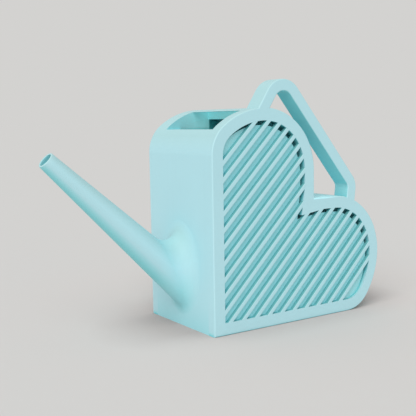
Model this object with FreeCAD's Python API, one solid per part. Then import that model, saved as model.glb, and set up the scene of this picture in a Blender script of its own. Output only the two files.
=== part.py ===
import FreeCAD, Part
import math
import os

# Heart-shaped indoor watering can, in millimetres.
# The can is modelled with its flat spout side at x = 0 and its front face at y = 0,
# standing on z = 0, and every piece is moved to the middle of the whole can when it is saved.
# The heart lies on its side: its point is the square corner at x = 0, z = 0, one lobe stands
# on top and the other reaches out along the base. The two halves mirror about the line x = z.

# Heart outline, front view
LOBE_REACH = 155.5        # height of the upper lobe, and equally the length of the lower one
CREST_OFFSET = 44.6       # crest of a lobe, measured from the flat side beside it
SHOULDER_RADIUS = 25.0    # tight arc where a flat side turns into its lobe
CROWN_RADIUS = 57.3       # shallow arc from the shoulder to the crest
FLANK_RADIUS = 45.0       # quarter circle from the crest to the side facing the notch

# Layers, front to back
DEPTH = 85.5
RIM_WIDTH = 8.8
NOTCH_PULL = 3.0          # the rims reach this much further in at their corner under the notch
NOTCH_RUN = 18.0          # and widen towards it over this length
RIM_DEPTH = 7.5
BAND_THICKNESS = 7.3
FRONT_WALL_THICKNESS = 1.5
REAR_WALL_THICKNESS = 7.5
SLAT_DEPTH = 3.0
PANEL_THICKNESS = 2.0
PANEL_DROP = 3.1          # the slat panels sit this far below the rims' crowns
PANEL_SHIFT = 2.0         # and this far from the rims' inner edges on the right

# Slats, laid along the heart's own axis at 45 degrees
SLATS_PER_SIDE = 10
SLAT_PITCH = 8.08
SLAT_WIDTH = 3.0
SLAT_SHIFT = -0.7          # the whole row sits this far up and left of the heart's axis

# Fill opening, a box cut out of the upper lobe's shoulder
OPENING_BOTTOM = 141.1
OPENING_TOP = 153.7
OPENING_END_X = 44.5

# Handle, a flat strap flush with the front face
HANDLE_THICKNESS = 8.3
HANDLE_DEPTH = 14.6
HANDLE_TOP_CORNER = (60.2, 179.9)
HANDLE_LOW_CORNER = (127.9, 98.0)
HANDLE_UPPER_FOOT = (44.3, 155.3)
HANDLE_LOWER_FOOT = (126.4, 85.5)
HANDLE_TOP_BEND = 12.5
HANDLE_LOW_BEND = 9.4
FOOT_OVERRUN = 20.0
TENON_WIDTH = 4.0
TENON_LENGTH = 4.0
TENON_FRONT_Y = 2.0
TENON_DEPTH = 6.0

# Spout, a thin tapering tube that leaves the flat side near the base
SPOUT_TIP_X = -99.4
SPOUT_TIP_Z = 124.2
SPOUT_ANGLE = 42.9
SPOUT_TIP_RADIUS = 5.94
SPOUT_TIP_BORE = 4.65
SPOUT_ROOT_RADIUS = 13.2
SPOUT_ROOT_BORE = 11.0
SPOUT_FLARE_RADIUS = 13.0
FLARE_SINK = 0.4          # the flare is cut off just before its edge would vanish
SPOUT_OVERRUN = 30.0

EDGE_RADIUS = 0.8         # small rounding on the edges a hand meets
MARGIN = 5.0              # how far cutting shapes run past what they cut
FUZZ = 0.01               # how closely an edge must lie on a plane to count as lying in it

SPOUT_COS = math.cos(math.radians(SPOUT_ANGLE))
SPOUT_SIN = math.sin(math.radians(SPOUT_ANGLE))
SPOUT_LEFT_X = SPOUT_TIP_X - SPOUT_TIP_RADIUS * SPOUT_SIN
CAN_MIDDLE_X = (SPOUT_LEFT_X + LOBE_REACH) / 2
FRONT_WALL_REAR_Y = RIM_DEPTH + FRONT_WALL_THICKNESS
REAR_RIM_Y = DEPTH - RIM_DEPTH
REAR_WALL_FRONT_Y = REAR_RIM_Y - REAR_WALL_THICKNESS


def vec(x, z, y=0.0):
    return FreeCAD.Vector(x, y, z)


def half_outline(offset, place, pull):
    """Edges of half the heart, from its point along the flat side and round one lobe to the notch.

    They are worked out for the standing lobe, and place(x, z) puts a point of it into the plane.
    The corner under the notch is pulled inwards by pull.
    """
    shoulder = SHOULDER_RADIUS - offset
    crown = CROWN_RADIUS - offset
    flank = FLANK_RADIUS - offset
    crown_z = LOBE_REACH - CROWN_RADIUS
    flank_z = LOBE_REACH - FLANK_RADIUS
    run = CREST_OFFSET - SHOULDER_RADIUS
    rise = math.sqrt((CROWN_RADIUS - SHOULDER_RADIUS) ** 2 - run ** 2)
    shoulder_z = crown_z + rise
    meet = math.atan2(rise, -run)
    notch = CREST_OFFSET + flank

    def on_shoulder(angle):
        return place(SHOULDER_RADIUS + shoulder * math.cos(angle), shoulder_z + shoulder * math.sin(angle))

    def on_crown(angle):
        return place(CREST_OFFSET + crown * math.cos(angle), crown_z + crown * math.sin(angle))

    def on_flank(angle):
        return place(CREST_OFFSET + flank * math.cos(angle), flank_z + flank * math.sin(angle))

    level = math.pi
    up = math.pi / 2
    return [
        Part.makeLine(place(offset, offset), place(offset, shoulder_z)),
        Part.Arc(on_shoulder(level), on_shoulder((level + meet) / 2), on_shoulder(meet)).toShape(),
        Part.Arc(on_crown(meet), on_crown((meet + up) / 2), on_crown(up)).toShape(),
        Part.Arc(on_flank(up), on_flank(up / 2), on_flank(0.0)).toShape(),
        Part.makeLine(place(notch, flank_z), place(notch, notch + NOTCH_RUN)),
        Part.makeLine(place(notch, notch + NOTCH_RUN), place(notch - pull, notch - pull)),
    ]


def mirrored(x, z):
    """The point's partner in the lying lobe."""
    return vec(z, x)


def heart_face(offset, pull):
    """The heart's outline moved inwards by offset, as a face in the plane y = 0."""
    edges = half_outline(offset, vec, pull) + half_outline(offset, mirrored, pull)
    return Part.Face(Part.Wire(Part.__sortEdges__(edges)))


def heart_prism(offset, y_front, y_rear, pull=0.0):
    face = heart_face(offset, pull)
    face.translate(FreeCAD.Vector(0, y_front, 0))
    return face.extrude(FreeCAD.Vector(0, y_rear - y_front, 0)).removeSplitter()


def slat_opening(y_front, y_rear):
    """The room inside a rim, which the slats and their panel fill."""
    return heart_prism(RIM_WIDTH, y_front, y_rear, NOTCH_PULL)


def rim(y_front, y_rear, face_y):
    """Flat heart-shaped frame; its outer edge at face_y is softened."""
    outer = rounded_edges(heart_prism(0.0, y_front, y_rear), lambda edge: lies_flat(edge, face_y))
    return outer.cut(slat_opening(y_front - MARGIN, y_rear + MARGIN))


def box(x0, x1, y0, y1, z0, z1):
    return Part.makeBox(x1 - x0, y1 - y0, z1 - z0, FreeCAD.Vector(x0, y0, z0))


def fill_opening():
    return box(-MARGIN, OPENING_END_X, FRONT_WALL_REAR_Y, REAR_WALL_FRONT_Y, OPENING_BOTTOM, OPENING_TOP)


def spout_cone(tip_radius, root_radius, overrun):
    """Solid cone on the spout's axis, from its tip (moved out by overrun) to inside the tank."""
    length = -SPOUT_TIP_X / SPOUT_COS
    slope = (root_radius - tip_radius) / length
    start = vec(SPOUT_TIP_X - overrun * SPOUT_COS, SPOUT_TIP_Z + overrun * SPOUT_SIN, DEPTH / 2)
    inward = vec(SPOUT_COS, -SPOUT_SIN)
    total = overrun + length + SPOUT_OVERRUN
    return Part.makeCone(tip_radius - slope * overrun, tip_radius + slope * (total - overrun),
                         total, start, inward)


def spout_outside():
    return spout_cone(SPOUT_TIP_RADIUS, SPOUT_ROOT_RADIUS, 0.0)


def flared_spout():
    """The spout's outer cone with a rounded flare where it meets the flat side."""
    plate = box(FLARE_SINK, BAND_THICKNESS, 0, DEPTH, -SPOUT_OVERRUN, LOBE_REACH / 2)
    cone = spout_outside().cut(box(FLARE_SINK, LOBE_REACH, 0, DEPTH, -LOBE_REACH, LOBE_REACH))
    joined = plate.fuse(cone)
    joint = []
    for edge in joined.Edges:
        bounds = edge.BoundBox
        on_plate = abs(bounds.XMin - FLARE_SINK) < FUZZ and abs(bounds.XMax - FLARE_SINK) < FUZZ
        if on_plate and not isinstance(edge.Curve, Part.Line):
            joint.append(edge)
    filleted = joined.makeFillet(SPOUT_FLARE_RADIUS, joint)
    return filleted.common(box(SPOUT_LEFT_X - MARGIN, 0, 0, DEPTH, 0, LOBE_REACH))


def spout():
    through_wall = spout_outside().common(box(-MARGIN, BAND_THICKNESS, 0, DEPTH, -MARGIN, LOBE_REACH))
    solid = flared_spout().fuse(through_wall)
    bore = spout_cone(SPOUT_TIP_BORE, SPOUT_ROOT_BORE, MARGIN)
    return solid.cut(bore).removeSplitter()


def unit(start, end):
    return (end - start).normalize()


def rounded_side(points, radii, side):
    """One long side of a strap: its centre line moved sideways, each bend on its own centre."""
    shift = side * HANDLE_THICKNESS / 2
    first_way = unit(points[0], points[1])
    last = points[0] + FreeCAD.Vector(first_way.z, 0, -first_way.x) * shift
    edges = []
    for before, corner, after, radius in zip(points, points[1:], points[2:], radii):
        ways = [unit(before, corner), unit(corner, after)]
        half_turn = ways[0].getAngle(ways[1]) / 2
        centre = corner + (ways[1] - ways[0]).normalize() * (radius / math.cos(half_turn))
        hand = 1 if ways[0].cross(ways[1]).y > 0 else -1
        reach = radius - hand * shift
        arms = [FreeCAD.Vector(-way.z, 0, way.x) * hand * reach for way in ways]
        middle = (arms[0] + arms[1]).normalize() * reach
        edges.append(Part.makeLine(last, centre + arms[0]))
        edges.append(Part.Arc(centre + arms[0], centre + middle, centre + arms[1]).toShape())
        last = centre + arms[1]
    last_way = unit(points[-2], points[-1])
    end = points[-1] + FreeCAD.Vector(last_way.z, 0, -last_way.x) * shift
    edges.append(Part.makeLine(last, end))
    return edges


def handle_path():
    """Centre line of the handle, run on into the lobes at both ends."""
    top = vec(*HANDLE_TOP_CORNER)
    low = vec(*HANDLE_LOW_CORNER)
    upper_foot = vec(*HANDLE_UPPER_FOOT)
    lower_foot = vec(*HANDLE_LOWER_FOOT)
    start = upper_foot + unit(top, upper_foot) * FOOT_OVERRUN
    end = lower_foot + unit(low, lower_foot) * FOOT_OVERRUN
    return [start, top, low, end]


def handle_strap():
    path = handle_path()
    radii = [HANDLE_TOP_BEND, HANDLE_LOW_BEND]
    left = rounded_side(path, radii, 1)
    right = rounded_side(path, radii, -1)
    start_cap = Part.makeLine(left[0].Vertexes[0].Point, right[0].Vertexes[0].Point)
    end_cap = Part.makeLine(left[-1].Vertexes[-1].Point, right[-1].Vertexes[-1].Point)
    face = Part.Face(Part.Wire(Part.__sortEdges__(left + right + [start_cap, end_cap])))
    strap = face.extrude(FreeCAD.Vector(0, HANDLE_DEPTH, 0))
    return rounded_edges(strap, lambda edge: lies_flat(edge, 0.0) or lies_flat(edge, HANDLE_DEPTH))


def lies_flat(edge, y):
    bounds = edge.BoundBox
    return abs(bounds.YMin - y) < FUZZ and abs(bounds.YMax - y) < FUZZ


def rounded_edges(solid, wanted):
    """Round the edges of a solid that pass the test."""
    return solid.makeFillet(EDGE_RADIUS, [edge for edge in solid.Edges if wanted(edge)])


def tenon(foot, toward):
    """Square peg under one foot of the handle, let into the rim and the band."""
    way = unit(toward, foot)
    across = FreeCAD.Vector(way.z, 0, -way.x) * (TENON_WIDTH / 2)
    start = foot - way * TENON_LENGTH
    end = foot + way * TENON_LENGTH
    corners = [start + across, end + across, end - across, start - across, start + across]
    face = Part.Face(Part.makePolygon(corners))
    face.translate(FreeCAD.Vector(0, TENON_FRONT_Y, 0))
    return face.extrude(FreeCAD.Vector(0, TENON_DEPTH, 0))


def tenons():
    upper = tenon(vec(*HANDLE_UPPER_FOOT), vec(*HANDLE_TOP_CORNER))
    lower = tenon(vec(*HANDLE_LOWER_FOOT), vec(*HANDLE_LOW_CORNER))
    return [upper, lower]


def handle():
    strap = handle_strap().cut(heart_prism(0.0, -MARGIN, DEPTH))
    above = max(strap.Solids, key=lambda solid: solid.Volume)
    return above.fuse(tenons()).removeSplitter()


def tank_band():
    """The can's outer wall, a band bent into a heart, with the opening and the spout's hole."""
    inside = heart_prism(BAND_THICKNESS, RIM_DEPTH - MARGIN, REAR_RIM_Y + MARGIN)
    band = heart_prism(0.0, RIM_DEPTH, REAR_RIM_Y).cut(inside)
    return band.cut(fill_opening()).cut(spout_outside()).cut(tenons())


def front_rim():
    return rim(0.0, RIM_DEPTH, 0.0).cut(tenons())


def rear_rim():
    return rim(REAR_RIM_Y, DEPTH, DEPTH)


def front_tank_wall():
    return heart_prism(BAND_THICKNESS, RIM_DEPTH, FRONT_WALL_REAR_Y)


def rear_tank_wall():
    return heart_prism(BAND_THICKNESS, REAR_WALL_FRONT_Y, REAR_RIM_Y)


def slat_panel(y_front, y_rear):
    """Backing for the slats, set low and left so that a gap stays open round each lobe's end."""
    panel = slat_opening(y_front, y_rear)
    panel.translate(FreeCAD.Vector(-PANEL_SHIFT, 0, -PANEL_DROP))
    return panel.common(slat_opening(y_front, y_rear))


def slats(y_front, y_rear):
    """Parallel bars across the rim's opening, in order from the upper left to the lower right."""
    inside = slat_opening(y_front, y_rear)
    along = vec(1, 1).normalize()
    across = vec(1, -1).normalize()
    bars = []
    for place in range(2 * SLATS_PER_SIDE):
        centre = across * ((place + 0.5 - SLATS_PER_SIDE) * SLAT_PITCH + SLAT_SHIFT)
        half = across * (SLAT_WIDTH / 2)
        near = along * (-LOBE_REACH)
        far = along * (2 * LOBE_REACH)
        corners = [centre - half + near, centre - half + far, centre + half + far, centre + half + near]
        outline = Part.Face(Part.makePolygon(corners + corners[:1]))
        outline.translate(FreeCAD.Vector(0, y_front, 0))
        bar = outline.extrude(FreeCAD.Vector(0, y_rear - y_front, 0)).common(inside)
        bars.append(bar.Solids[0])
    return bars


def pieces():
    yield "tank_band", tank_band()
    yield "front_rim", front_rim()
    yield "rear_rim", rear_rim()
    yield "front_tank_wall", front_tank_wall()
    yield "rear_tank_wall", rear_tank_wall()
    yield "front_slat_panel", slat_panel(SLAT_DEPTH, SLAT_DEPTH + PANEL_THICKNESS)
    yield "rear_slat_panel", slat_panel(DEPTH - SLAT_DEPTH - PANEL_THICKNESS, DEPTH - SLAT_DEPTH)
    for number, bar in enumerate(slats(0.0, SLAT_DEPTH), 1):
        yield "front_slat_%02d" % number, bar
    for number, bar in enumerate(slats(DEPTH - SLAT_DEPTH, DEPTH), 1):
        yield "rear_slat_%02d" % number, bar
    yield "spout", spout()
    yield "handle", handle()


def save(name, shape):
    """Move a piece to the middle of the can, check that it is one sound solid, and write it."""
    shape.translate(FreeCAD.Vector(-CAN_MIDDLE_X, -DEPTH / 2, 0))
    solids = shape.Solids
    if len(solids) != 1 or not solids[0].isValid():
        print("CHECK", name, len(solids), "solids")
    bounds = shape.BoundBox
    print("%-18s %9.1f mm3  x %.2f..%.2f  y %.2f..%.2f  z %.2f..%.2f" % (
        name, shape.Volume, bounds.XMin, bounds.XMax, bounds.YMin, bounds.YMax, bounds.ZMin, bounds.ZMax))
    solids[0].exportStep("parts/%s.step" % name)


os.makedirs("parts", exist_ok=True)
for piece_name, piece_shape in pieces():
    save(piece_name, piece_shape)
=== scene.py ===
"""Looks for the heart-shaped watering can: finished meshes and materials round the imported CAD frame."""
import math

import bmesh
import bpy
from mathutils import Matrix, Vector


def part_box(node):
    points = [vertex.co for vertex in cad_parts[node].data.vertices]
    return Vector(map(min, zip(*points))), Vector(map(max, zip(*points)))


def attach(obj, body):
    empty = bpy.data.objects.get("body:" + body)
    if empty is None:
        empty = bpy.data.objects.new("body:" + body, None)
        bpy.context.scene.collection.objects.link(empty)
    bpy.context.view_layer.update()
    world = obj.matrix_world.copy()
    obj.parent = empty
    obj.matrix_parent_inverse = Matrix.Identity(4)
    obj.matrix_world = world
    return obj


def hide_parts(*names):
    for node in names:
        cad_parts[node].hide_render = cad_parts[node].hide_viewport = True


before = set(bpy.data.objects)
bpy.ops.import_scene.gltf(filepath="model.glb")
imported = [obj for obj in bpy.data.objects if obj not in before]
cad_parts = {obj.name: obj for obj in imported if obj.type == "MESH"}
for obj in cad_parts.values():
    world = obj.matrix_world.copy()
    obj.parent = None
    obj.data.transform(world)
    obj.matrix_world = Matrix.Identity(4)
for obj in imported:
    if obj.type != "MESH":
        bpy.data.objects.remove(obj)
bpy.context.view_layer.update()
MM = 0.001

# Places read from the frame. CORNER is the heart's point, at the lower left of the front face.
RIM_LOW, RIM_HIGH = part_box("front_rim")
REAR_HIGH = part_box("rear_rim")[1]
HANDLE_LOW_BOX, HANDLE_HIGH_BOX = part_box("handle")
FRONT_WALL_LOW, FRONT_WALL_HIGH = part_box("front_tank_wall")
REAR_WALL_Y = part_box("rear_tank_wall")[0].y
CORNER = RIM_LOW.copy()
REACH = RIM_HIGH.z - RIM_LOW.z
DEPTH = REAR_HIGH.y - RIM_LOW.y
RIM_DEPTH = RIM_HIGH.y - RIM_LOW.y
HANDLE_DEPTH = HANDLE_HIGH_BOX.y - HANDLE_LOW_BOX.y
BAND_THICKNESS = FRONT_WALL_LOW.x - CORNER.x

# Heart outline: arcs of the standing lobe, measured from CORNER; the lying lobe mirrors it
CREST_OFFSET = 44.6 * MM
SHOULDER_RADIUS = 25.0 * MM
CROWN_RADIUS = 57.3 * MM
FLANK_RADIUS = 45.0 * MM
RIM_WIDTH = 8.8 * MM
NOTCH = CREST_OFFSET + FLANK_RADIUS

# The rims widen towards their corner under the notch: by how much, and over what length
NOTCH_PULL = 3.0 * MM
NOTCH_RUN = 18.0 * MM

# Slats
SLATS_PER_FACE = 20
SLAT_PITCH = 8.08 * MM
SLAT_WIDTH = 3.0 * MM
SLAT_SHIFT = -0.7 * MM
SLAT_DEPTH = 3.0 * MM
SLAT_EDGE = 0.35 * MM

# Handle strap, corners of its centre line measured from CORNER as (x, z)
HANDLE_UPPER_FOOT = Vector((44.3, 155.3)) * MM
HANDLE_TOP_CORNER = Vector((60.2, 179.9)) * MM
HANDLE_LOW_CORNER = Vector((127.9, 98.0)) * MM
HANDLE_LOWER_FOOT = Vector((126.4, 85.5)) * MM
HANDLE_THICKNESS = 8.3 * MM
HANDLE_TOP_BEND = 12.5 * MM
HANDLE_LOW_BEND = 9.4 * MM
HANDLE_EDGE = 0.8 * MM

# Spout
SPOUT_TIP_X = -99.4 * MM
SPOUT_TIP_Z = 124.2 * MM
SPOUT_ANGLE = math.radians(42.9)
SPOUT_TIP_RADIUS = 5.94 * MM
SPOUT_TIP_BORE = 4.65 * MM
SPOUT_ROOT_RADIUS = 13.2 * MM
SPOUT_ROOT_BORE = 11.0 * MM
SPOUT_FLARE_RADIUS = 13.0 * MM
SPOUT_SINK = 0.6 * MM

# Camera, measured from CORNER
CAMERA_PLACE = Vector((-278.9, -416.0, 147.3)) * MM
CAMERA_YAW = math.radians(33.469)
CAMERA_PITCH = math.radians(-6.609)
CAMERA_ROLL = math.radians(-0.998)
CAMERA_LENS = 65.36
CAMERA_SENSOR = 36.0
CAMERA_CLIP = (0.01, 200.0)

# Colours, linear
AQUA = (0.469, 0.766, 0.843)
# Painted shade: darker aqua laid where other surfaces stand near, in hollows and in wider sheltered corners
CAVITY_SHADE_AQUA = (0.090, 0.480, 0.540)
SHELTER_SHADE_AQUA = (0.270, 0.740, 0.810)
BRIGHT_AQUA = (0.600, 0.880, 0.920)
# Groove floors: a more saturated copy of the aqua, painted bounce light between the slats
PANEL_BOUNCE_AQUA = (0.390, 0.850, 0.930)
PAPER = (0.651, 0.645, 0.631)

# Factors on a colour for painted shade and painted light: each darkens or lightens the plastic where light
# falls on it less or more
SHADED_TINT = (0.56, 0.96, 0.93)
UPPER_SHADE_TINT = (0.88, 0.87, 0.84)
SLAT_SIDE_SHADE_TINT = (0.44, 0.74, 0.72)
OPENING_SHADE_TINT = (0.62, 0.81, 0.80)
TANK_SHADE_TINT = (0.30, 0.90, 0.86)
BORE_SHADE_TINT = (0.25, 0.62, 0.62)
FLARE_LIGHT_TINT = (0.84, 1.06, 1.04)
SUNWARD_SHADE_TINT = (0.97, 0.95, 0.93)
GAP_SHADE_TINT = (0.08, 0.36, 0.36)
FLANK_SHADE_TINT = (0.40, 0.95, 0.92)
PANEL_END_SHADE_TINT = (0.98, 0.92, 0.90)
LEG_SHADE_TINT = (0.72, 0.95, 0.91)
NOTCH_LIGHT_TINT = (1.20, 1.30, 1.32)
# Floor: painted warmth near the can that cancels the aqua light it bounces onto the floor, and a painted
# shadow round and behind it
FLOOR_BOUNCE_CANCEL_TINT = (1.04, 1.00, 0.99)
FLOOR_SHADOW_TINT = (0.76, 0.68, 0.67)

# Surface of the plastic: noise scales per metre, and how strongly each pattern is felt
MOTTLE_SCALE = 28.0
WEAR_SCALE = 90.0
GRAIN_SCALE = 1600.0
LAYER_STRETCH = (6.0, 900.0, 6.0)
TONE_SPREAD = 0.03
MOTTLE_SHARE = 0.6
WEAR_STRENGTH = 0.35
ROUGHNESS = 0.42
MOTTLE_ROUGHNESS = 0.14
WORN_SMOOTHNESS = 0.2
GRAIN_STRENGTH = 0.12
GRAIN_HEIGHT = 0.05 * MM
LAYER_HEIGHT = 0.06 * MM
SPECULAR = 0.3
AIR_SAMPLES = 8
CLOSED_AIR = 0.05

# Light
SUN_SHARE = 0.38
SUN_TOWARD = (-0.80, -0.68, 1.00)
SUN_COLOUR = (1.0, 0.99, 0.97)
SUN_WIDTH = math.radians(50.0)

# Fill opening, and a painted glow on its far wall and end face, which stands in for the light that reaches
# them through the thin crown
OPENING_LOW_Z = CORNER.z + 141.1 * MM
OPENING_HIGH_Z = CORNER.z + 153.7 * MM
OPENING_END_X = CORNER.x + 44.5 * MM
OPENING_LIGHT = (0.110, 0.275, 0.270)

# Floor
FLOOR_HALF = 60.0
FLOOR_BOUNCE_CANCEL_REACH = (0.30, 0.07)
FLOOR_SHADOW_REACH = 60 * MM


# ---------------------------------------------------------------- small helpers

def finish_piece(name, build, material, replaced, sharp_degrees=40.0):
    """Make a mesh object from a filled bmesh, smooth it with even normals, and hang it on the can."""
    bmesh.ops.recalc_face_normals(build, faces=build.faces)
    mesh = bpy.data.meshes.new(name)
    build.to_mesh(mesh)
    build.free()
    mesh.shade_smooth()
    mesh.set_sharp_from_angle(angle=math.radians(sharp_degrees))
    mesh.materials.append(material)
    piece = bpy.data.objects.new(name, mesh)
    bpy.context.scene.collection.objects.link(piece)
    weighted = piece.modifiers.new("even_normals", "WEIGHTED_NORMAL")
    weighted.keep_sharp = True
    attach(piece, "root")
    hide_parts(replaced)
    return piece


def add_loops(build, loops):
    """Add rings of points, all with the same count, to a bmesh and return their vertices."""
    return [[build.verts.new(point) for point in loop] for loop in loops]


def bridge(build, first, second):
    """Quads between two closed rings of vertices."""
    count = len(first)
    for index in range(count):
        after = (index + 1) % count
        build.faces.new((first[index], first[after], second[after], second[index]))


def arc_points(centre, radius, start, end, steps):
    points = []
    for step in range(steps + 1):
        angle = start + (end - start) * step / steps
        points.append(centre + Vector((math.cos(angle), math.sin(angle))) * radius)
    return points


# ---------------------------------------------------------------- heart outline

def standing_half(inset, steps=40):
    """Upper half of the rims' opening, from its point round the standing lobe to the notch."""
    crown_z = REACH - CROWN_RADIUS
    flank_z = REACH - FLANK_RADIUS
    run = CREST_OFFSET - SHOULDER_RADIUS
    rise = math.sqrt((CROWN_RADIUS - SHOULDER_RADIUS) ** 2 - run ** 2)
    shoulder_z = crown_z + rise
    meet = math.atan2(rise, -run)
    notch = NOTCH - inset
    points = [Vector((inset, inset))]
    shoulder = Vector((SHOULDER_RADIUS, shoulder_z))
    points += arc_points(shoulder, SHOULDER_RADIUS - inset, math.pi, meet, steps)
    points += arc_points(Vector((CREST_OFFSET, crown_z)), CROWN_RADIUS - inset, meet, math.pi / 2, steps)[1:]
    points += arc_points(Vector((CREST_OFFSET, flank_z)), FLANK_RADIUS - inset, math.pi / 2, 0.0, steps)[1:]
    points.append(Vector((notch, notch + NOTCH_RUN)))
    points.append(Vector((notch - NOTCH_PULL, notch - NOTCH_PULL)))
    return points


def rim_opening(inset):
    """Outline of the room inside a rim, which the slats cross."""
    upper = standing_half(inset)
    lower = [Vector((point.y, point.x)) for point in reversed(upper[1:-1])]
    return upper + lower


def standing_top(x, inset=0.0):
    """Height of the standing lobe's surface at x, near its crest."""
    radius = CROWN_RADIUS if x < CREST_OFFSET else FLANK_RADIUS
    return REACH - radius + math.sqrt((radius - inset) ** 2 - (x - CREST_OFFSET) ** 2)


def lying_top(x, inset=0.0):
    """Height of the lying lobe's upper surface at x, beyond the end of its flat stretch."""
    run = x - (REACH - FLANK_RADIUS)
    return CREST_OFFSET + math.sqrt((FLANK_RADIUS - inset) ** 2 - run ** 2)


# ---------------------------------------------------------------- slats

def slat_ends(outline, across):
    """Where the line x - z = across * sqrt 2 enters and leaves an outline, as lengths along it."""
    hits = []
    for here, there in zip(outline, outline[1:] + outline[:1]):
        side_here = (here.x - here.y) / math.sqrt(2) - across
        side_there = (there.x - there.y) / math.sqrt(2) - across
        if side_here * side_there < 0:
            share = side_here / (side_here - side_there)
            point = here.lerp(there, share)
            hits.append((point.x + point.y) / math.sqrt(2))
    return min(hits), max(hits)


def slat_profile():
    """Section of a slat as (across, depth) pairs, its two front edges softened."""
    half = SLAT_WIDTH / 2
    near = arc_points(Vector((-half + SLAT_EDGE, SLAT_EDGE)), SLAT_EDGE, math.pi, 1.5 * math.pi, 3)
    far = arc_points(Vector((half - SLAT_EDGE, SLAT_EDGE)), SLAT_EDGE, 1.5 * math.pi, 2 * math.pi, 3)
    return [Vector((-half, SLAT_DEPTH))] + near + far + [Vector((half, SLAT_DEPTH))]


def make_slat(side, number, outline, material):
    middle = (number - 0.5 - SLATS_PER_FACE / 2) * SLAT_PITCH + SLAT_SHIFT
    face_y, inward = (0.0, 1) if side == "front" else (DEPTH, -1)
    near_end = []
    far_end = []
    for point in slat_profile():
        across = middle + point.x
        for ring, along in zip((near_end, far_end), slat_ends(outline, across)):
            x = (along + across) / math.sqrt(2)
            z = (along - across) / math.sqrt(2)
            ring.append(CORNER + Vector((x, face_y + inward * point.y, z)))
    build = bmesh.new()
    first, second = add_loops(build, [near_end, far_end])
    bridge(build, first, second)
    build.faces.new(first)
    build.faces.new(second)
    name = "%s_bar_%02d" % (side, number)
    finish_piece(name, build, material, "%s_slat_%02d" % (side, number))


# ---------------------------------------------------------------- handle

def turned(way, hand):
    """A direction turned a quarter turn, to its left for hand 1."""
    return Vector((-way.y, way.x)) * hand


def meet_surface(start, way, height):
    """Slide from start along way until the point lies on the surface height(x)."""
    low, high = -20 * MM, 20 * MM
    halvings = 50
    for _ in range(halvings):
        middle = (low + high) / 2
        point = start + way * middle
        if point.y > height(point.x):
            low = middle
        else:
            high = middle
    return start + way * high


def strap_side(side, inset, steps=24):
    """One long side of the strap from the upper foot to the lower one; side 1 is the outer side."""
    path = [HANDLE_UPPER_FOOT, HANDLE_TOP_CORNER, HANDLE_LOW_CORNER, HANDLE_LOWER_FOOT]
    reach = (HANDLE_THICKNESS / 2 - inset) * side
    up, along, down = [(b - a).normalized() for a, b in zip(path, path[1:])]
    points = [meet_surface(path[0] + turned(up, 1) * reach, -up, lambda x: standing_top(x, HANDLE_EDGE))]
    bends = (((up, along), path[1], HANDLE_TOP_BEND), ((along, down), path[2], HANDLE_LOW_BEND))
    for ways, corner, bend in bends:
        half_turn = ways[0].angle(ways[1]) / 2
        centre = corner + (ways[1] - ways[0]).normalized() * (bend / math.cos(half_turn))
        first = turned(ways[0], 1)
        start = math.atan2(first.y, first.x)
        points += arc_points(centre, bend + reach, start, start - 2 * half_turn, steps)
    points.append(meet_surface(path[3] + turned(down, 1) * reach, down, lambda x: lying_top(x, HANDLE_EDGE)))
    return points


def foot_edge(start, end, height, steps=6):
    """Points between the two sides of a foot, lying on the lobe under it."""
    points = []
    for step in range(1, steps):
        x = start.x + (end.x - start.x) * step / steps
        points.append(Vector((x, height(x))))
    return points


def strap_ring(inset, y):
    """Closed outline of the strap at one depth, and how many points each stretch of it has."""
    outer = strap_side(1, inset)
    inner = strap_side(-1, inset)
    low_foot = foot_edge(outer[-1], inner[-1], lambda x: lying_top(x, HANDLE_EDGE))
    high_foot = foot_edge(inner[0], outer[0], lambda x: standing_top(x, HANDLE_EDGE))
    flat = outer + low_foot + inner[::-1] + high_foot
    ring = [CORNER + Vector((point.x, y, point.y)) for point in flat]
    return ring, len(outer), len(low_foot)


def cap_strap(build, ring, side_count, foot_count):
    """Close one face of the strap with a strip of quads between its two long sides."""
    outer = ring[:side_count]
    inner = ring[side_count + foot_count:2 * side_count + foot_count][::-1]
    low_foot = ring[side_count:side_count + foot_count]
    high_foot = ring[2 * side_count + foot_count:]
    for index in range(1, side_count - 2):
        build.faces.new((outer[index], outer[index + 1], inner[index + 1], inner[index]))
    build.faces.new([outer[-2], outer[-1]] + low_foot + [inner[-1], inner[-2]])
    build.faces.new([inner[1], inner[0]] + high_foot + [outer[0], outer[1]])


def make_handle(material):
    steps = 5
    levels = []
    for step in range(steps + 1):
        angle = math.pi / 2 * step / steps
        levels.append((HANDLE_EDGE * (1 - math.sin(angle)), HANDLE_EDGE * (1 - math.cos(angle))))
    rear_levels = [(inset, HANDLE_DEPTH - y) for inset, y in reversed(levels)]
    build = bmesh.new()
    rings = []
    for inset, y in levels + rear_levels:
        ring, side_count, foot_count = strap_ring(inset, y)
        rings.append(ring)
    rings = add_loops(build, rings)
    for first, second in zip(rings, rings[1:]):
        bridge(build, first, second)
    cap_strap(build, rings[0], side_count, foot_count)
    cap_strap(build, rings[-1], side_count, foot_count)
    finish_piece("strap_handle", build, material, "handle")


# ---------------------------------------------------------------- spout

SPOUT_WAY = Vector((math.cos(SPOUT_ANGLE), 0.0, -math.sin(SPOUT_ANGLE)))
SPOUT_UP = Vector((math.sin(SPOUT_ANGLE), 0.0, math.cos(SPOUT_ANGLE)))
SPOUT_ACROSS = Vector((0.0, 1.0, 0.0))
SPOUT_LENGTH = -SPOUT_TIP_X / math.cos(SPOUT_ANGLE)
SPOUT_TIP = CORNER + Vector((SPOUT_TIP_X, DEPTH / 2, SPOUT_TIP_Z))


def spout_outward(angle):
    return SPOUT_UP * math.cos(angle) + SPOUT_ACROSS * math.sin(angle)


def on_cone(angle, along, tip_radius, root_radius):
    radius = tip_radius + (root_radius - tip_radius) * along / SPOUT_LENGTH
    return SPOUT_TIP + SPOUT_WAY * along + spout_outward(angle) * radius


def along_to_x(angle, x, tip_radius, root_radius):
    """How far along the spout its surface line at this angle meets the plane at x."""
    start = on_cone(angle, 0.0, tip_radius, root_radius).x
    slope = (on_cone(angle, SPOUT_LENGTH, tip_radius, root_radius).x - start) / SPOUT_LENGTH
    return (x - start) / slope


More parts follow.
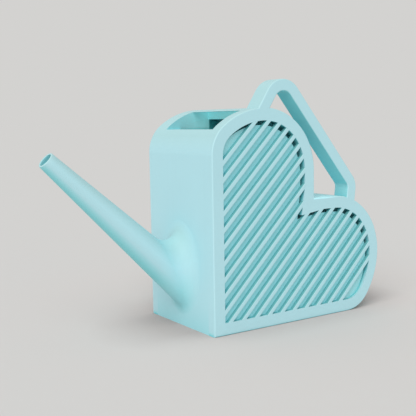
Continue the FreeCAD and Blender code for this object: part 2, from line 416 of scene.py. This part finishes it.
def flare_arc(angle, steps):
    """Rolling-ball curve from the spout's outside to the tank's flat side, at one angle."""
    slope = (SPOUT_ROOT_RADIUS - SPOUT_TIP_RADIUS) / SPOUT_LENGTH
    normal = (spout_outward(angle) - SPOUT_WAY * slope).normalized()
    lifted_tip = on_cone(angle, 0.0, SPOUT_TIP_RADIUS, SPOUT_ROOT_RADIUS) + normal * SPOUT_FLARE_RADIUS
    travel = SPOUT_WAY + spout_outward(angle) * slope
    centre = lifted_tip + travel * ((CORNER.x - SPOUT_FLARE_RADIUS - lifted_tip.x) / travel.x)
    to_cone = -normal
    to_wall = Vector((1.0, 0.0, 0.0))
    whole = to_cone.angle(to_wall)
    points = []
    for step in range(steps + 1):
        turn = whole * step / steps
        way = (to_cone * math.sin(whole - turn) + to_wall * math.sin(turn)) / math.sin(whole)
        points.append(centre + way * SPOUT_FLARE_RADIUS)
    return points


def spout_lip(angle, steps=5):
    """Rounded lip at the mouth, from the bore to the outside."""
    wall = SPOUT_TIP_RADIUS - SPOUT_TIP_BORE
    middle = SPOUT_TIP + spout_outward(angle) * (SPOUT_TIP_BORE + wall / 2)
    points = []
    for step in range(steps + 1):
        turn = math.pi * step / steps
        out = -math.cos(turn) * wall / 2
        points.append(middle + spout_outward(angle) * out + SPOUT_WAY * (1 - math.sin(turn)) * wall / 2)
    return points


def make_spout(material):
    sides = 96
    shaft_steps = 24
    flare_steps = 16
    columns = []
    for side in range(sides):
        angle = 2 * math.pi * side / sides
        outer = (SPOUT_TIP_RADIUS, SPOUT_ROOT_RADIUS)
        bore = (SPOUT_TIP_BORE, SPOUT_ROOT_BORE)
        lip = spout_lip(angle)
        flare = flare_arc(angle, flare_steps)
        shaft = [lip[-1].lerp(flare[0], step / shaft_steps) for step in range(1, shaft_steps)]
        sunk = flare[-1] + Vector((SPOUT_SINK, 0.0, 0.0))
        inner_x = CORNER.x + BAND_THICKNESS
        root_places = (CORNER.x + SPOUT_SINK, inner_x)
        root = [on_cone(angle, along_to_x(angle, x, *outer), *outer) for x in root_places]
        bore_root = on_cone(angle, along_to_x(angle, inner_x, *bore), *bore)
        bore_line = [bore_root.lerp(lip[0], step / shaft_steps) for step in range(shaft_steps)]
        columns.append(lip + shaft + flare + [sunk] + root + bore_line)
    build = bmesh.new()
    loops = add_loops(build, [list(loop) for loop in zip(*columns)])
    for first, second in zip(loops, loops[1:] + loops[:1]):
        bridge(build, first, second)
    finish_piece("spout_tube", build, material, "spout", 50.0)


# ---------------------------------------------------------------- materials

class Nodes:
    """A material's node tree, with short calls to add and join nodes."""

    def __init__(self, name):
        self.material = bpy.data.materials.new(name)
        self.material.use_nodes = True
        self.tree = self.material.node_tree
        self.shader = self.tree.nodes["Principled BSDF"]
        self.place = self.add("ShaderNodeTexCoord").outputs["Object"]
        self.normal = self.add("ShaderNodeNewGeometry").outputs["Normal"]

    def add(self, kind, inputs=(), **settings):
        node = self.tree.nodes.new(kind)
        for key, value in settings.items():
            setattr(node, key, value)
        for key, value in dict(inputs).items():
            self.set(node.inputs[key], value)
        return node

    def set(self, socket, value):
        if isinstance(value, bpy.types.NodeSocket):
            self.tree.links.new(value, socket)
        else:
            socket.default_value = value

    def math(self, operation, first, second=0.0):
        return self.add("ShaderNodeMath", {0: first, 1: second}, operation=operation).outputs[0]

    def product(self, first, *others):
        for other in others:
            first = self.math("MULTIPLY", first, other)
        return first

    def vector(self, operation, first, second=(0.0, 0.0, 0.0)):
        """Vector sum, difference or product, as a vector."""
        inputs = {0: first, 1: tuple(second)}
        return self.add("ShaderNodeVectorMath", inputs, operation=operation).outputs["Vector"]

    def measure(self, operation, first, second=(0.0, 0.0, 0.0)):
        """Length, distance or dot product, as a number."""
        inputs = {0: first, 1: tuple(second)}
        return self.add("ShaderNodeVectorMath", inputs, operation=operation).outputs["Value"]

    def along(self, axis):
        """Where the point lies along X, Y or Z."""
        return self.add("ShaderNodeSeparateXYZ", {0: self.place}).outputs[axis]

    def facing(self, axis):
        """How squarely the surface faces along X, Y or Z, from -1 to 1."""
        return self.add("ShaderNodeSeparateXYZ", {0: self.normal}).outputs[axis]

    def ramp(self, value, start, end, interpolation="LINEAR"):
        """0 where value is at start or beyond it, 1 where it is at end."""
        inputs = {"Value": value, "From Min": start, "From Max": end}
        return self.add("ShaderNodeMapRange", inputs, interpolation_type=interpolation).outputs[0]

    def between(self, value, low, high, edge=0.2 * MM):
        """1 where value lies between low and high, with a narrow soft edge outside them."""
        return self.product(self.ramp(value, low - edge, low), self.ramp(value, high + edge, high))

    def open_air(self, reach):
        """1 in the open, less where other surfaces stand within reach."""
        return self.add("ShaderNodeAmbientOcclusion", {"Distance": reach}, samples=AIR_SAMPLES).outputs["AO"]

    def noise(self, scale, detail=3.0, stretch=(1.0, 1.0, 1.0)):
        moved = self.add("ShaderNodeMapping", {"Vector": self.place, "Scale": stretch}).outputs[0]
        inputs = {"Vector": moved, "Scale": scale, "Detail": detail}
        return self.add("ShaderNodeTexNoise", inputs).outputs["Fac"]

    def mix(self, share, first, second, blend="MIX"):
        node = self.add("ShaderNodeMix", data_type="RGBA", blend_type=blend)
        for key, value in ((0, share), (6, first), (7, second)):
            self.set(node.inputs[key], value)
        return node.outputs[2]

    def tint(self, share, colour, factors):
        """Multiply the colour by the factors where share is 1."""
        return self.mix(share, colour, factors + (1.0,), "MULTIPLY")

    def bump(self, height, strength, distance, normal=None):
        values = {"Height": height, "Strength": strength, "Distance": distance}
        if normal is not None:
            values["Normal"] = normal
        return self.add("ShaderNodeBump", values).outputs[0]


def shade(colour, factor):
    return tuple(channel * factor for channel in colour) + (1.0,)


# Wear: each function says how much of a surface is worn, from 0 to 1

def no_wear(nodes):
    return 0.0


def front_edge_share(nodes):
    """1 on the softened edges between a face and its sides, 0 on flat faces and on the sides."""
    square = nodes.product(nodes.facing("Y"), nodes.facing("Y"))
    return nodes.product(square, nodes.math("SUBTRACT", 1.0, square), 4.0)


def mouth_share(nodes):
    """1 at the spout's lip, falling to 0 a few millimetres down the tube."""
    return nodes.ramp(nodes.measure("DISTANCE", nodes.place, SPOUT_TIP), 7.2 * MM, 5.6 * MM)


# Painted shade and light: each function returns the body colour, darkened or lightened where light falls on
# it less or more

def no_tint(nodes, body):
    return body


def slope_shade(nodes, body):
    """Painted shade on faces that look down, and painted bounce light on those beside the tank's flat side;
    painted dimming on faces that look up.
    """
    rise = nodes.facing("Z")
    from_side = nodes.math("ABSOLUTE", nodes.math("SUBTRACT", nodes.along("X"), CORNER.x))
    clear = nodes.ramp(from_side, 6 * MM, 24 * MM)
    under = nodes.product(nodes.ramp(rise, -0.30, -0.64), clear)
    beside_side = nodes.product(nodes.ramp(rise, 0.0, -0.40), nodes.math("SUBTRACT", 1.0, clear))
    lower = nodes.tint(beside_side, nodes.tint(under, body, SHADED_TINT), FLARE_LIGHT_TINT)
    return nodes.tint(nodes.ramp(rise, 0.08, 0.52), lower, UPPER_SHADE_TINT)


def slat_shade(nodes, body):
    """Painted shade on the sides of the slats."""
    sides = nodes.ramp(nodes.math("ABSOLUTE", nodes.facing("Y")), 0.75, 0.25)
    return nodes.tint(sides, body, SLAT_SIDE_SHADE_TINT)


def opening_shade(nodes, body):
    """Painted shade on the fill opening's far wall and end face."""
    level = nodes.between(nodes.along("Z"), OPENING_LOW_Z, OPENING_HIGH_Z)
    at_wall = nodes.between(nodes.along("Y"), REAR_WALL_Y - 0.5 * MM, REAR_WALL_Y + 0.5 * MM)
    far_wall = nodes.product(at_wall, nodes.ramp(nodes.facing("Y"), -0.5, -0.9))
    at_end = nodes.between(nodes.along("X"), OPENING_END_X - MM, OPENING_END_X + MM)
    end_face = nodes.product(at_end, nodes.ramp(nodes.facing("X"), -0.5, -0.9))
    share = nodes.product(level, nodes.math("MAXIMUM", far_wall, end_face))
    return nodes.tint(share, body, OPENING_SHADE_TINT)


def notch_share(nodes):
    """1 on the lying lobe's upper side next to the notch, fading along the lobe."""
    level = nodes.between(nodes.along("Z"), CORNER.z + NOTCH - MM, CORNER.z + NOTCH + MM)
    notch_x = CORNER.x + NOTCH
    beside = nodes.ramp(nodes.along("X"), notch_x + 25 * MM, notch_x + 12 * MM)
    right_of = nodes.ramp(nodes.along("X"), notch_x - MM, notch_x)
    return nodes.product(level, beside, right_of)


def band_light_and_shade(nodes, body):
    """The fill opening's painted shade, and painted light beside the notch, standing in for light that comes
    through the plastic.
    """
    return opening_shade(nodes, nodes.tint(notch_share(nodes), body, NOTCH_LIGHT_TINT))


def rim_shade(nodes, body):
    """Painted shade on a rim's inner wall, in the gaps beside the slat panel, darkest where it looks down;
    painted light at the notch.
    """
    in_notch = notch_share(nodes)
    front_y = CORNER.y
    rear_y = CORNER.y + DEPTH
    behind_front = nodes.ramp(nodes.along("Y"), front_y + 0.5 * MM, front_y + 2 * MM)
    before_rear = nodes.ramp(nodes.along("Y"), rear_y - 0.5 * MM, rear_y - 2 * MM)
    closed = nodes.ramp(nodes.open_air(5 * MM), 0.80, 0.55)
    share = nodes.product(behind_front, before_rear, nodes.math("SUBTRACT", 1.0, in_notch), closed)
    under = nodes.product(share, nodes.ramp(nodes.facing("Z"), -0.25, -0.75))
    beside = nodes.math("SUBTRACT", share, under)
    body = nodes.tint(in_notch, body, NOTCH_LIGHT_TINT)
    return nodes.tint(beside, nodes.tint(under, body, GAP_SHADE_TINT), FLANK_SHADE_TINT)


def wall_shade(nodes, body):
    """Painted shade on the walls' outer faces, behind the gaps, and on what faces into the tank."""
    across = nodes.along("Y")
    front_y = CORNER.y + RIM_DEPTH
    rear_y = CORNER.y + DEPTH - RIM_DEPTH
    at_front = nodes.ramp(across, front_y + 0.3 * MM, front_y)
    at_rear = nodes.ramp(across, rear_y - 0.3 * MM, rear_y)
    body = nodes.tint(nodes.math("MAXIMUM", at_front, at_rear), body, GAP_SHADE_TINT)
    in_tank = nodes.between(across, FRONT_WALL_HIGH.y, REAR_WALL_Y + 0.1 * MM)
    below = nodes.ramp(nodes.along("Z"), OPENING_LOW_Z + 0.5 * MM, OPENING_LOW_Z)
    past = nodes.ramp(nodes.along("X"), OPENING_END_X, OPENING_END_X + 0.5 * MM)
    inside = nodes.product(in_tank, nodes.math("MAXIMUM", below, past))
    return opening_shade(nodes, nodes.tint(inside, body, TANK_SHADE_TINT))


def panel_shade(nodes, body):
    """Painted shade on the open ends of the panels, beyond the outermost slats."""
    from_corner = nodes.math("SUBTRACT", nodes.along("X"), CORNER.x)
    off_axis = nodes.math("ABSOLUTE", nodes.math("SUBTRACT", from_corner, nodes.along("Z")))
    outermost = (SLATS_PER_FACE - 1) / 2 * SLAT_PITCH * math.sqrt(2)
    return nodes.tint(nodes.ramp(off_axis, outermost, outermost + 3 * MM), body, PANEL_END_SHADE_TINT)


def handle_shade(nodes, body):
    """Painted shade on the inner side of the handle's lower leg."""
    leg_top = CORNER.z + HANDLE_LOW_CORNER.y
    low = nodes.ramp(nodes.along("Z"), leg_top + 6 * MM, leg_top)
    return nodes.tint(nodes.product(low, nodes.ramp(nodes.facing("X"), -0.80, -0.97)), body, LEG_SHADE_TINT)


def spout_shade(nodes, body):
    """Painted shade inside the spout, behind its lip, and painted dimming where it faces the sun."""
    sunward = nodes.measure("DOT_PRODUCT", nodes.normal, Vector(SUN_TOWARD).normalized())
    body = nodes.tint(nodes.ramp(sunward, 0.60, 0.92), body, SUNWARD_SHADE_TINT)
    from_tip = nodes.vector("SUBTRACT", nodes.place, SPOUT_TIP)
    along = nodes.measure("DOT_PRODUCT", from_tip, SPOUT_WAY)
    radius = nodes.measure("LENGTH", nodes.vector("CROSS_PRODUCT", from_tip, SPOUT_WAY))
    growth = nodes.product(along, (SPOUT_ROOT_BORE - SPOUT_TIP_BORE) / SPOUT_LENGTH)
    tip_radius = nodes.math("SUBTRACT", radius, growth)
    within = nodes.ramp(tip_radius, SPOUT_TIP_BORE + 0.5 * MM, SPOUT_TIP_BORE + 0.2 * MM)
    behind_lip = nodes.ramp(along, 0.3 * MM, 2.0 * MM)
    return nodes.tint(nodes.product(within, behind_lip), body, BORE_SHADE_TINT)


def opening_light(nodes):
    """Where the painted glow lies: 1 on the fill opening's far wall and end face, falling off towards the
    open shoulder.
    """
    x, y, z = [nodes.along(axis) for axis in "XYZ"]
    return nodes.product(
        nodes.ramp(x, CORNER.x + 14 * MM, CORNER.x + 40 * MM),
        nodes.ramp(x, OPENING_END_X + 1 * MM, OPENING_END_X + 0.5 * MM),
        nodes.ramp(z, OPENING_LOW_Z - 4 * MM, OPENING_LOW_Z + 2 * MM),
        nodes.ramp(z, OPENING_HIGH_Z + 0.2 * MM, OPENING_HIGH_Z - 0.2 * MM),
        nodes.ramp(y, FRONT_WALL_HIGH.y, FRONT_WALL_HIGH.y + 3 * MM),
        nodes.ramp(y, REAR_WALL_Y + 0.5 * MM, REAR_WALL_Y + 0.1 * MM))


def plastic(name, colour, wear=front_edge_share, layer_strength=0.25, local=no_tint,
            cavity_reach=5.0 * MM, open_from=0.70, cavity_shade_colour=CAVITY_SHADE_AQUA, lit=False):
    """Satin translucent plastic: fine layers stacked front to back, a mottled tone, worn edges; painted
    shade where other surfaces stand near, the local function's painted shade and light, and, if lit, a
    painted glow on the fill opening.
    """
    nodes = Nodes(name)
    mottle = nodes.noise(MOTTLE_SCALE, 5.0)
    layers = nodes.noise(1.0, 2.0, LAYER_STRETCH)
    grain = nodes.noise(GRAIN_SCALE, 2.0)
    tone = nodes.math("ADD", nodes.product(mottle, MOTTLE_SHARE), nodes.product(layers, 1.0 - MOTTLE_SHARE))
    body = nodes.mix(tone, shade(colour, 1.0 - TONE_SPREAD), shade(colour, 1.0 + TONE_SPREAD))
    body = local(nodes, slope_shade(nodes, body))
    # Painted shade: the cavity colour wherever other surfaces stand within cavity_reach
    in_the_open = nodes.ramp(nodes.open_air(cavity_reach), CLOSED_AIR, open_from)
    body = nodes.mix(in_the_open, cavity_shade_colour + (1.0,), body)
    worn = nodes.product(wear(nodes), nodes.product(nodes.noise(WEAR_SCALE), WEAR_STRENGTH))
    rough = nodes.math("ADD", nodes.product(mottle, MOTTLE_ROUGHNESS), ROUGHNESS)
    fine = nodes.bump(grain, GRAIN_STRENGTH, GRAIN_HEIGHT)
    sockets = nodes.shader.inputs
    nodes.set(sockets["Base Color"], nodes.mix(worn, body, BRIGHT_AQUA + (1.0,)))
    nodes.set(sockets["Roughness"], nodes.math("SUBTRACT", rough, nodes.product(worn, WORN_SMOOTHNESS)))
    nodes.set(sockets["Normal"], nodes.bump(layers, layer_strength, LAYER_HEIGHT, fine))
    sockets["Specular IOR Level"].default_value = SPECULAR
    # Painted glow: emission on the fill opening's far wall and end face
    if lit:
        sockets["Emission Color"].default_value = OPENING_LIGHT + (1.0,)
        nodes.set(sockets["Emission Strength"], opening_light(nodes))
    return nodes.material


def dress(node, material):
    """Give a kept CAD node its material."""
    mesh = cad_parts[node].data
    mesh.materials.clear()
    mesh.materials.append(material)


# ---------------------------------------------------------------- stage

def make_floor():
    """Plain floor whose tone, lit by sky and sun, equals the sky's, so that no horizon shows; painted warmth
    near the can cancels its bounced aqua light, and a painted shadow lies round and behind it.
    """
    mesh = bpy.data.meshes.new("floor")
    corners = [(x * FLOOR_HALF, y * FLOOR_HALF, 0.0) for x, y in ((-1, -1), (1, -1), (1, 1), (-1, 1))]
    mesh.from_pydata(corners, [], [(0, 1, 2, 3)])
    nodes = Nodes("floor")
    share = 1.0 / (1.0 + SUN_SHARE / PAPER[0])
    middle = (CORNER.x + REACH / 2, CORNER.y + DEPTH / 2, 0.0)
    gap = nodes.measure("DISTANCE", nodes.place, middle)
    near = nodes.ramp(gap, *FLOOR_BOUNCE_CANCEL_REACH, interpolation="SMOOTHSTEP")
    paper = nodes.tint(near, (share, share, share, 1.0), FLOOR_BOUNCE_CANCEL_TINT)
    # Painted shadow where the can stands near, except in front of it
    under = nodes.ramp(nodes.open_air(FLOOR_SHADOW_REACH), 0.97, 0.50)
    not_in_front = nodes.ramp(nodes.along("Y"), CORNER.y - 30 * MM, CORNER.y + 20 * MM)
    floor_shadow_share = nodes.product(under, not_in_front)
    nodes.set(nodes.shader.inputs["Base Color"], nodes.tint(floor_shadow_share, paper, FLOOR_SHADOW_TINT))
    nodes.shader.inputs["Roughness"].default_value = 1.0
    nodes.shader.inputs["Specular IOR Level"].default_value = 0.0
    mesh.materials.append(nodes.material)
    floor = bpy.data.objects.new("floor", mesh)
    bpy.context.scene.collection.objects.link(floor)


def make_light():
    """An even pale sky and one broad soft sun from the upper left, in front."""
    world = bpy.data.worlds.new("studio")
    world.use_nodes = True
    world.node_tree.nodes["Background"].inputs["Color"].default_value = PAPER + (1.0,)
    bpy.context.scene.world = world
    toward = Vector(SUN_TOWARD).normalized()
    lamp = bpy.data.lights.new("key", "SUN")
    lamp.angle = SUN_WIDTH
    lamp.color = SUN_COLOUR
    lamp.energy = SUN_SHARE * math.pi / toward.z
    key = bpy.data.objects.new("key", lamp)
    key.rotation_mode = "QUATERNION"
    key.rotation_quaternion = toward.to_track_quat("Z", "Y")
    bpy.context.scene.collection.objects.link(key)


def make_camera():
    ahead = Vector((math.sin(CAMERA_YAW) * math.cos(CAMERA_PITCH),
                    math.cos(CAMERA_YAW) * math.cos(CAMERA_PITCH), math.sin(CAMERA_PITCH)))
    level_right = Vector((math.cos(CAMERA_YAW), -math.sin(CAMERA_YAW), 0.0))
    level_up = level_right.cross(ahead)
    right = level_right * math.cos(CAMERA_ROLL) + level_up * math.sin(CAMERA_ROLL)
    up = level_up * math.cos(CAMERA_ROLL) - level_right * math.sin(CAMERA_ROLL)
    lens = bpy.data.cameras.new("camera")
    lens.lens = CAMERA_LENS
    lens.sensor_width = CAMERA_SENSOR
    lens.clip_start, lens.clip_end = CAMERA_CLIP
    camera = bpy.data.objects.new("camera", lens)
    turn = Matrix((right, up, -ahead)).transposed()
    camera.matrix_world = Matrix.Translation(CORNER + CAMERA_PLACE) @ turn.to_4x4()
    bpy.context.scene.collection.objects.link(camera)
    bpy.context.scene.camera = camera


def main():
    # Painted shade out to 30 mm from other surfaces, in a lighter sheltered aqua, for the band and the spout
    sheltered = {"cavity_reach": 30.0 * MM, "open_from": 0.92, "cavity_shade_colour": SHELTER_SHADE_AQUA}
    band = plastic("aqua_band", AQUA, local=band_light_and_shade, lit=True, **sheltered)
    rims = plastic("aqua_rims", AQUA, local=rim_shade)
    walls = plastic("aqua_walls", AQUA, no_wear, local=wall_shade, lit=True)
    # Panels in the more saturated aqua of painted bounce light, with painted shade within 1.5 mm of other
    # surfaces
    panels = plastic("aqua_panels", PANEL_BOUNCE_AQUA, no_wear, local=panel_shade, cavity_reach=1.5 * MM)
    slats = plastic("aqua_slats", AQUA, local=slat_shade)
    strap = plastic("aqua_handle", AQUA, local=handle_shade, cavity_reach=8.0 * MM)
    tube = plastic("aqua_spout", AQUA, mouth_share, 0.1, local=spout_shade, **sheltered)
    dress("tank_band", band)
    for side in ("front", "rear"):
        dress(side + "_rim", rims)
        dress(side + "_tank_wall", walls)
        dress(side + "_slat_panel", panels)
        for number in range(1, SLATS_PER_FACE + 1):
            make_slat(side, number, rim_opening(RIM_WIDTH), slats)
    make_handle(strap)
    make_spout(tube)
    make_floor()
    make_light()
    make_camera()
    bpy.context.scene.view_settings.view_transform = "Standard"


main()
